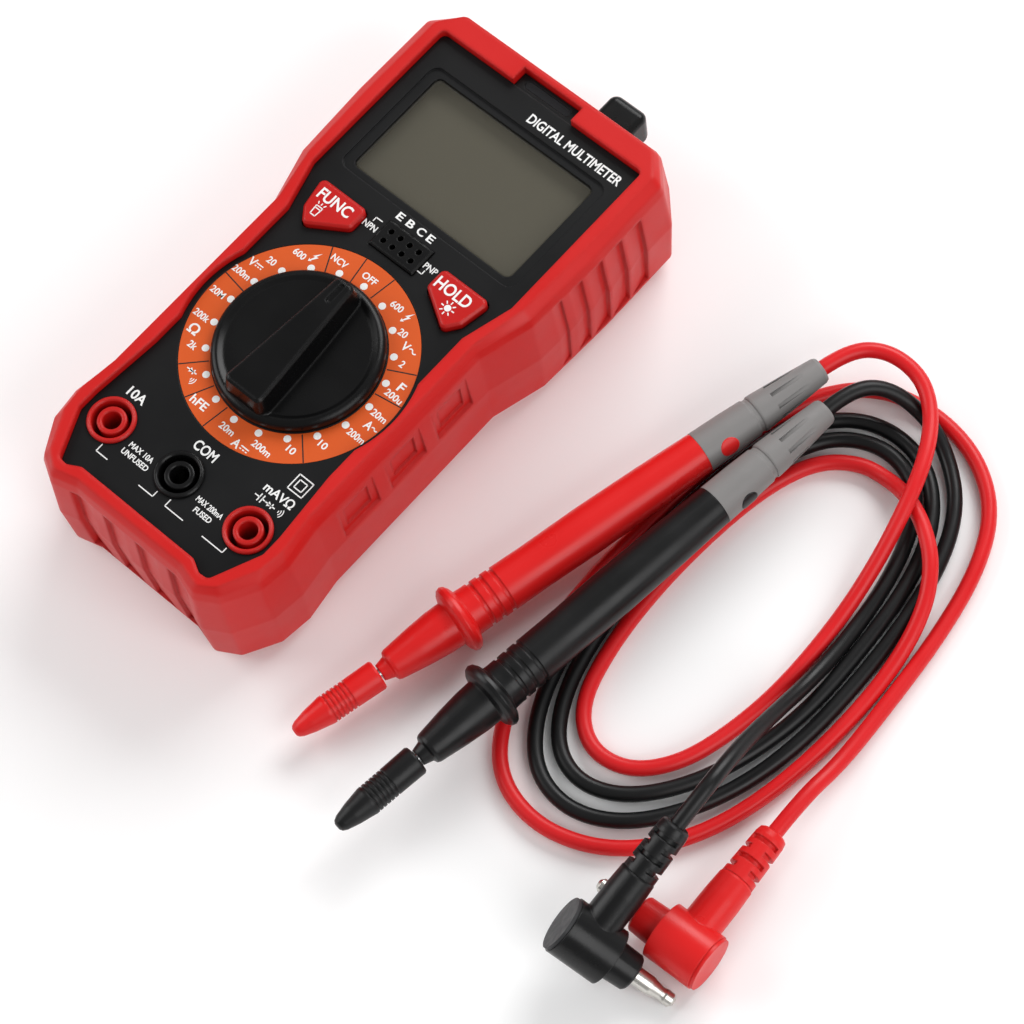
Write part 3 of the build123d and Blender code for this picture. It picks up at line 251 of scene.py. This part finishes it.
lcd_olive = surface("lcd_olive", (0.066, 0.059, 0.037), 0.5, grain=2500, depth=0.0, shift=0.06, edge=0.0,
                    blotch=14.0, specular=0.2)


def clear(name, colour, alpha, roughness=0.04):
    """A clear cover: mostly see-through, with its own gloss and a slight smear in the roughness."""
    material = surface(name, colour, roughness, grain=1500, depth=0.0, shift=0.02, edge=0.0,
                       rough_shift=0.02, specular=0.35)
    material.node_tree.nodes["Principled BSDF"].inputs["Alpha"].default_value = alpha
    return material


window_clear = clear("window_clear", (0.20, 0.19, 0.16), 0.14)
lens_clear = clear("lens_clear", (0.55, 0.56, 0.58), 0.45)
light_bar = clear("light_bar_smoke", (0.02, 0.02, 0.022), 0.85, 0.12)

FINISH = {
    "holster": red_rubber, "front_case": panel_black, "rear_case": shell_black, "case_screws": steel,
    "tilt_stand": shell_black, "battery_door": shell_black, "battery_door_screw": steel,
    "battery_cells": cell_wrap, "battery_contacts": nickel, "circuit_board": board_green,
    "measuring_chip": gloss_black, "buzzer": shell_black, "button_switches": gloss_black,
    "fuse": white_moulded, "fuse_clips": nickel, "shunt_wire": brass, "lcd_holder": white_moulded,
    "zebra_strip": strip_pink, "lcd_glass": lcd_olive, "display_window": window_clear,
    "dial_label": dial_orange, "selector_knob": knob_black, "rotor_carrier": white_moulded,
    "rotor_contacts": brass, "detent_springs": steel, "detent_balls": steel,
    "function_button": button_red, "hold_button": button_red, "transistor_socket": gloss_black,
    "jack_shroud_10a": button_red, "jack_shroud_com": gloss_black, "jack_shroud_ma": button_red,
    "jack_contact_10a": nickel, "jack_contact_com": nickel, "jack_contact_ma": nickel,
    "ncv_head": gloss_black, "torch_lens": lens_clear, "indicator_lens": light_bar,
}
for colour, body, wire in (("red", probe_red, wire_red), ("black", probe_black, wire_black)):
    for name in ("probe_cap", "probe_grip", "plug_body", "plug_cap", "plug_relief"):
        FINISH[colour + "_" + name] = body
    FINISH[colour + "_probe_sleeve"] = sleeve_grey
    FINISH[colour + "_probe_boot"] = sleeve_grey
    FINISH[colour + "_probe_needle"] = steel
    FINISH[colour + "_plug_pin"] = nickel
    FINISH[colour + "_cord"] = wire
FINISH["black_plug_cap"] = cap_grey
for name, material in FINISH.items():
    mesh = nodes[name].data
    if not mesh.materials:
        mesh.materials.append(material)
    for index in range(len(mesh.materials)):
        mesh.materials[index] = material
red_lead.data.materials.append(wire_red)
black_lead.data.materials.append(wire_black)


# ======== printed legends ========
def glyphs(text):
    """The flat mesh of a word, as lists of points and faces."""
    font = bpy.data.curves.new("word", "FONT")
    font.body = text
    font.size = 1.0
    font.offset = 0.02
    font.resolution_u = 4
    holder = link(bpy.data.objects.new("word", font))
    graph = bpy.context.evaluated_depsgraph_get()
    mesh = bpy.data.meshes.new_from_object(holder.evaluated_get(graph))
    points = [tuple(v.co[:2]) for v in mesh.vertices]
    faces = [tuple(p.vertices) for p in mesh.polygons]
    bpy.data.objects.remove(holder)
    bpy.data.curves.remove(font)
    bpy.data.meshes.remove(mesh)
    return points, faces


def word(text, x, y, width, height):
    """A word fitted to a box of that width and height centred at x, y."""
    points, faces = glyphs(text)
    low_x = min(p[0] for p in points)
    high_x = max(p[0] for p in points)
    low_y = min(p[1] for p in points)
    high_y = max(p[1] for p in points)
    fitted = [(x + width * ((px - low_x) / (high_x - low_x) - 0.5),
               y + height * ((py - low_y) / (high_y - low_y) - 0.5)) for px, py in points]
    return fitted, faces


def dot(x, y, radius, sides=20):
    """A filled round dot."""
    points = [(x + radius * math.cos(2 * math.pi * i / sides), y + radius * math.sin(2 * math.pi * i / sides))
              for i in range(sides)]
    return points, [tuple(range(sides))]


def stroke(start, end, width):
    """A straight line of a given width."""
    run = Vector((end[0] - start[0], end[1] - start[1])).normalized()
    side = Vector((-run.y, run.x)) * width / 2
    corners = [(start[0] + side.x, start[1] + side.y), (start[0] - side.x, start[1] - side.y),
               (end[0] - side.x, end[1] - side.y), (end[0] + side.x, end[1] + side.y)]
    return corners, [(0, 1, 2, 3)]


def bow(x, y, radius, first, last, width, steps=10):
    """An arc line between two angles in degrees."""
    points = []
    for i in range(steps + 1):
        angle = math.radians(first + (last - first) * i / steps)
        for reach in (radius - width / 2, radius + width / 2):
            points.append((x + reach * math.cos(angle), y + reach * math.sin(angle)))
    return points, [(2 * i, 2 * i + 1, 2 * i + 3, 2 * i + 2) for i in range(steps)]


def outline(corners, width):
    """A closed line through corners."""
    return [stroke(a, b, width) for a, b in zip(corners, corners[1:] + corners[:1])]


def bolt(x, y, size):
    """A lightning bolt."""
    shape = [(0.42, 1.0), (-0.42, -0.02), (-0.04, 0.06), (-0.36, -0.62), (-0.55, -0.5), (-0.46, -1.0),
             (-0.02, -0.72), (-0.2, -0.68), (0.42, 0.2), (0.04, 0.14)]
    return [([(x + px * size, y + py * size) for px, py in shape], [tuple(range(len(shape)))])]


def tilde(x, y, length, width):
    """An alternating current sign."""
    quarter = length / 4
    return [bow(x - quarter, y - 0.15, quarter, 160, 20, width),
            bow(x + quarter, y + 0.15, quarter, 200, 340, width)]


def direct(x, y, length, width):
    """A direct current sign: a line over three dashes."""
    marks = [stroke((x - length / 2, y + 0.32), (x + length / 2, y + 0.32), width)]
    for i in range(3):
        middle = x + (i - 1) * length * 0.37
        marks.append(stroke((middle - length * 0.11, y - 0.32), (middle + length * 0.11, y - 0.32), width))
    return marks


def diode(x, y, size):
    """A diode sign."""
    back = x - 0.45 * size
    body = ([(back, y + 0.5 * size), (back, y - 0.5 * size), (x + 0.4 * size, y)], [(0, 1, 2)])
    return [body, stroke((x + 0.42 * size, y - 0.5 * size), (x + 0.42 * size, y + 0.5 * size), 0.28),
            stroke((x - 1.1 * size, y), (x + 1.1 * size, y), 0.26)]


def sounder(x, y, size, turn=0):
    """Three growing arcs, for a buzzer."""
    return [bow(x, y, size * (0.45 + 0.62 * i), turn - 42, turn + 42, 0.2) for i in range(3)]


def print_on(name, marks, height, body, material, thick=0.03):
    """Join marks into one thin printed piece at a height, riding on a body."""
    mesh = bmesh.new()
    for points, faces in marks:
        made = [mesh.verts.new((px * MM, py * MM, height * MM)) for px, py in points]
        for face in faces:
            try:
                mesh.faces.new([made[i] for i in face])
            except ValueError:
                pass
    bmesh.ops.recalc_face_normals(mesh, faces=mesh.faces)
    for face in mesh.faces:
        if face.normal.z < 0:
            face.normal_flip()
    grown = bmesh.ops.extrude_face_region(mesh, geom=list(mesh.faces))
    moved = [item for item in grown["geom"] if isinstance(item, bmesh.types.BMVert)]
    bmesh.ops.translate(mesh, verts=moved, vec=(0, 0, thick * MM))
    data = bpy.data.meshes.new(name)
    mesh.to_mesh(data)
    mesh.free()
    data.materials.append(material)
    piece = link(bpy.data.objects.new(name, data))
    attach(piece, body)
    return piece


UNIT = 0.96              # the dial's artwork is laid out in units of 0.96 mm about its centre
DOT_RING = 20.65         # where the position dots sit, and their radius
DOT_RADIUS = 0.82
DIVIDER_START = 19.7     # the range dividers run between these radii
DIVIDER_END = 26.4
FINE_LINE = 0.26         # the width of a thin printed line


def at_dial(x, y):
    """A place on the panel from its place in the dial's artwork."""
    return x * UNIT, y * UNIT + DIAL_Y


dial_marks = []
for step in range(20):
    angle = math.radians(90 + 18 * step)
    place = at_dial(DOT_RING * math.cos(angle), DOT_RING * math.sin(angle))
    dial_marks.append(dot(*place, DOT_RADIUS))
DIAL_WORDS = [
    ("OFF", -0.3, 22.9, 3.9, 1.7), ("NCV", -8.4, 21.9, 4.2, 1.7), ("600", -16.5, 17.7, 3.2, 1.7),
    ("20", -20.1, 12.5, 2.2, 1.7), ("V", -23.3, 9.8, 1.8, 2.1), ("200m", -23.4, 6.3, 4.8, 1.7),
    ("20M", -24.1, -0.5, 3.8, 1.7), ("200k", -22.9, -6.9, 4.2, 1.7), ("Ω", -21.9, -10.3, 2.6, 2.6),
    ("2k", -19.4, -13.4, 2.2, 1.7), ("hFE", -8.6, -22.5, 4.4, 2.1), ("20m", 0.4, -23.2, 3.9, 1.7),
    ("A", 4.3, -24.4, 1.9, 2.1), ("200m", 9.4, -21.9, 5.0, 1.7), ("10", 14.6, -18.1, 2.1, 1.7),
    ("10", 19.1, -12.9, 2.1, 1.7), ("200m", 23.2, -6.9, 4.5, 1.7), ("A", 23.5, -3.3, 1.8, 2.1),
    ("20m", 23.8, -0.3, 4.0, 1.7), ("200u", 23.1, 5.1, 4.5, 1.7), ("F", 23.0, 7.7, 1.5, 2.2),
    ("2", 19.3, 12.0, 1.0, 1.7), ("V", 17.0, 15.6, 1.8, 2.1), ("20", 14.4, 17.6, 2.2, 1.7),
    ("600", 9.0, 21.6, 3.2, 1.7),
]
for text, x, y, width, height in DIAL_WORDS:
    dial_marks.append(word(text, *at_dial(x, y), width * UNIT, height * UNIT))
dial_marks += bolt(*at_dial(-13.2, 19.2), 1.6)
dial_marks += bolt(*at_dial(12.6, 21.0), 1.6)
dial_marks += direct(*at_dial(-21.4, 9.8), 1.9, 0.28)
dial_marks += direct(*at_dial(6.6, -24.4), 2.1, 0.28)
dial_marks += tilde(*at_dial(19.0, 15.6), 1.9, 0.28)
dial_marks += tilde(*at_dial(25.2, -3.3), 1.5, 0.26)
dial_marks += diode(*at_dial(-15.2, -18.0), 1.2)
dial_marks += sounder(*at_dial(-14.3, -19.4), 0.8, -20)
print_on("dial_legends", dial_marks, DIAL_Z, "housing", white_print)

divider_marks = []
for angle in (81, 99, 117, 171, 225, 243, 261, 315, 9, 27):
    run_x, run_y = math.cos(math.radians(angle)), math.sin(math.radians(angle))
    inner = at_dial(DIVIDER_START * run_x, DIVIDER_START * run_y)
    outer = at_dial(DIVIDER_END * run_x, DIVIDER_END * run_y)
    divider_marks.append(stroke(inner, outer, 0.28))
print_on("dial_dividers", divider_marks, DIAL_Z, "housing", black_print, thick=0.02)

panel_marks = []
PANEL_WORDS = [
    ("DIGITAL MULTIMETER", 13.35, 75.0, 26.7, 2.5), ("E", -5.4, 38.5, 1.7, 1.9), ("B", -2.4, 38.5, 1.9, 1.9),
    ("C", 0.7, 38.5, 2.0, 2.0), ("E", 3.5, 38.5, 1.7, 1.9), ("NPN", -9.2, 32.6, 3.7, 1.6),
    ("PNP", 8.5, 33.0, 3.6, 1.6), ("10A", -20.2, -29.9, 4.9, 2.4), ("COM", 0.5, -29.9, 6.2, 2.5),
    ("mAVΩ", 20.1, -27.5, 8.0, 2.3), ("MAX 10A", -10.0, -39.0, 6.8, 1.4), ("UNFUSED", -10.0, -41.1, 7.6, 1.4),
    ("MAX 200mA", 10.4, -39.0, 7.4, 1.4), ("FUSED", 10.4, -41.2, 4.8, 1.4),
]
for text, x, y, width, height in PANEL_WORDS:
    panel_marks.append(word(text, *at_dial(x, y), width * UNIT, height * UNIT))
for line in (((-18.0, -42.9), (-18.0, -44.9), (-14.6, -44.9)), ((-5.2, -44.9), (-1.0, -44.9), (-1.0, -43.3)),
             ((2.6, -42.9), (2.6, -44.8), (8.0, -44.8)), ((13.6, -44.8), (19.6, -44.8), (19.6, -43.4)),
             ((-9.5, 33.9), (-9.5, 35.0), (-7.6, 35.0)), ((7.8, 31.9), (7.8, 30.8), (5.9, 30.8))):
    for start, end in zip(line, line[1:]):
        panel_marks.append(stroke(at_dial(*start), at_dial(*end), 0.24))
for half in (2.0, 1.05):
    corners = [at_dial(22 + half * a, -23 + half * b) for a, b in ((-1, -1), (1, -1), (1, 1), (-1, 1))]
    panel_marks += outline(corners, FINE_LINE)
panel_marks += diode(*at_dial(19.9, -30.4), 1.25)
panel_marks += sounder(*at_dial(22.0, -30.4), 0.85)
for x, length in ((16.9, 1.0), (17.7, 1.0)):
    panel_marks.append(stroke(at_dial(x, -30.4 - length), at_dial(x, -30.4 + length), FINE_LINE))
panel_marks.append(stroke(at_dial(15.6, -30.4), at_dial(16.9, -30.4), FINE_LINE))
panel_marks.append(stroke(at_dial(17.7, -30.4), at_dial(18.6, -30.4), FINE_LINE))
print_on("panel_legends", panel_marks, PANEL_Z, "housing", white_print)

function_marks = [word("FUNC", -17.4, 15.5, 8.9, 2.8)]
function_marks += outline([(-20.0, 10.4), (-18.7, 10.4), (-18.5, 12.7), (-20.2, 12.7)], FINE_LINE)
function_marks.append(stroke((-20.1, 12.1), (-18.6, 12.1), 0.24))
for lean in (-0.7, 0, 0.7):
    function_marks.append(stroke((-19.35 + lean, 13.1), (-19.35 + 1.5 * lean, 13.7), 0.24))
print_on("function_legend", function_marks, BUTTON_Z, "function_button", white_print)

hold_marks = [word("HOLD", 16.4, 15.4, 9.2, 2.9), dot(17.9, 11.9, 0.78)]
for ray in range(8):
    angle = math.radians(45 * ray)
    hold_marks.append(stroke((17.9 + 1.05 * math.cos(angle), 11.9 + 1.05 * math.sin(angle)),
                             (17.9 + 1.75 * math.cos(angle), 11.9 + 1.75 * math.sin(angle)), 0.28))
print_on("hold_legend", hold_marks, BUTTON_Z, "hold_button", white_print)

def badge(colour, probe, distance, radius, lift, material):
    """A small round badge wrapped on a probe's sleeve, its face raised by an angle above level."""
    axis = (Vector(probe[1]) - Vector(probe[0])).normalized()
    level = axis.cross(Vector((0, 0, 1))).normalized()
    across = level.cross(axis) * -1
    centre = Vector(along(*probe, distance))
    mesh = bmesh.new()
    rings = []
    for ring in range(1, 7):
        made = []
        for step in range(28):
            angle = 2 * math.pi * step / 28
            reach = 2.45 * ring / 6
            turn = math.radians(lift) + reach * math.sin(angle) / radius
            out = level * math.cos(turn) - across * math.sin(turn)
            height = radius + (0.14 if ring < 6 else -0.3)
            made.append(mesh.verts.new((centre + axis * reach * math.cos(angle) + out * height) * MM))
        rings.append(made)
    mesh.faces.new(rings[0])
    for inner, outer in zip(rings, rings[1:]):
        for step in range(28):
            after = (step + 1) % 28
            mesh.faces.new((inner[step], outer[step], outer[after], inner[after]))
    bmesh.ops.recalc_face_normals(mesh, faces=mesh.faces)
    data = bpy.data.meshes.new(colour + "_badge")
    mesh.to_mesh(data)
    mesh.free()
    data.materials.append(material)
    piece = link(bpy.data.objects.new(colour + "_badge", data))
    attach(piece, "housing")


badge("red", RED_PROBE, 107.9, 4.55, 32, probe_red)
badge("black", BLACK_PROBE, 108.4, 4.55, 6, probe_black)

# ======== floor and light ========
floor_mesh = bpy.data.meshes.new("floor")
FLOOR_Z = -0.0001
FLOOR_HALF = 6
corners = [(x * FLOOR_HALF, y * FLOOR_HALF, FLOOR_Z) for x, y in ((-1, -1), (1, -1), (1, 1), (-1, 1))]
floor_mesh.from_pydata(corners, [], [(0, 1, 2, 3)])
floor = link(bpy.data.objects.new("floor", floor_mesh))
floor_mesh.materials.append(surface("floor_paper", (0.95, 0.95, 0.95), 0.9, grain=300,
                                    depth=0.00001, shift=0.004,
                                    edge=0.0, specular=0.1))

world = bpy.data.worlds.new("studio")
bpy.context.scene.world = world
world.use_nodes = True
world.node_tree.nodes["Background"].inputs["Color"].default_value = (1.0, 1.0, 1.0, 1)
world.node_tree.nodes["Background"].inputs["Strength"].default_value = 0.36


def lamp(name, place, target, size, power):
    """A soft rectangular studio light."""
    data = bpy.data.lights.new(name, "AREA")
    data.shape = "RECTANGLE"
    data.size = size[0]
    data.size_y = size[1]
    data.energy = power
    light = link(bpy.data.objects.new(name, data))
    light.location = place
    light.rotation_euler = (Vector(target) - Vector(place)).to_track_quat("-Z", "Y").to_euler()


lamp("key", (-0.1, 0.95, 0.8), (0.05, 0.0, 0.0), (0.9, 0.6), 10.8)
lamp("fill", (-0.9, -0.5, 0.7), (0.05, 0.0, 0.0), (0.8, 0.8), 6.5)
lamp("side", (1.0, -0.1, 0.7), (0.05, 0.0, 0.0), (0.8, 0.8), 6.5)

bpy.context.view_layer.update()
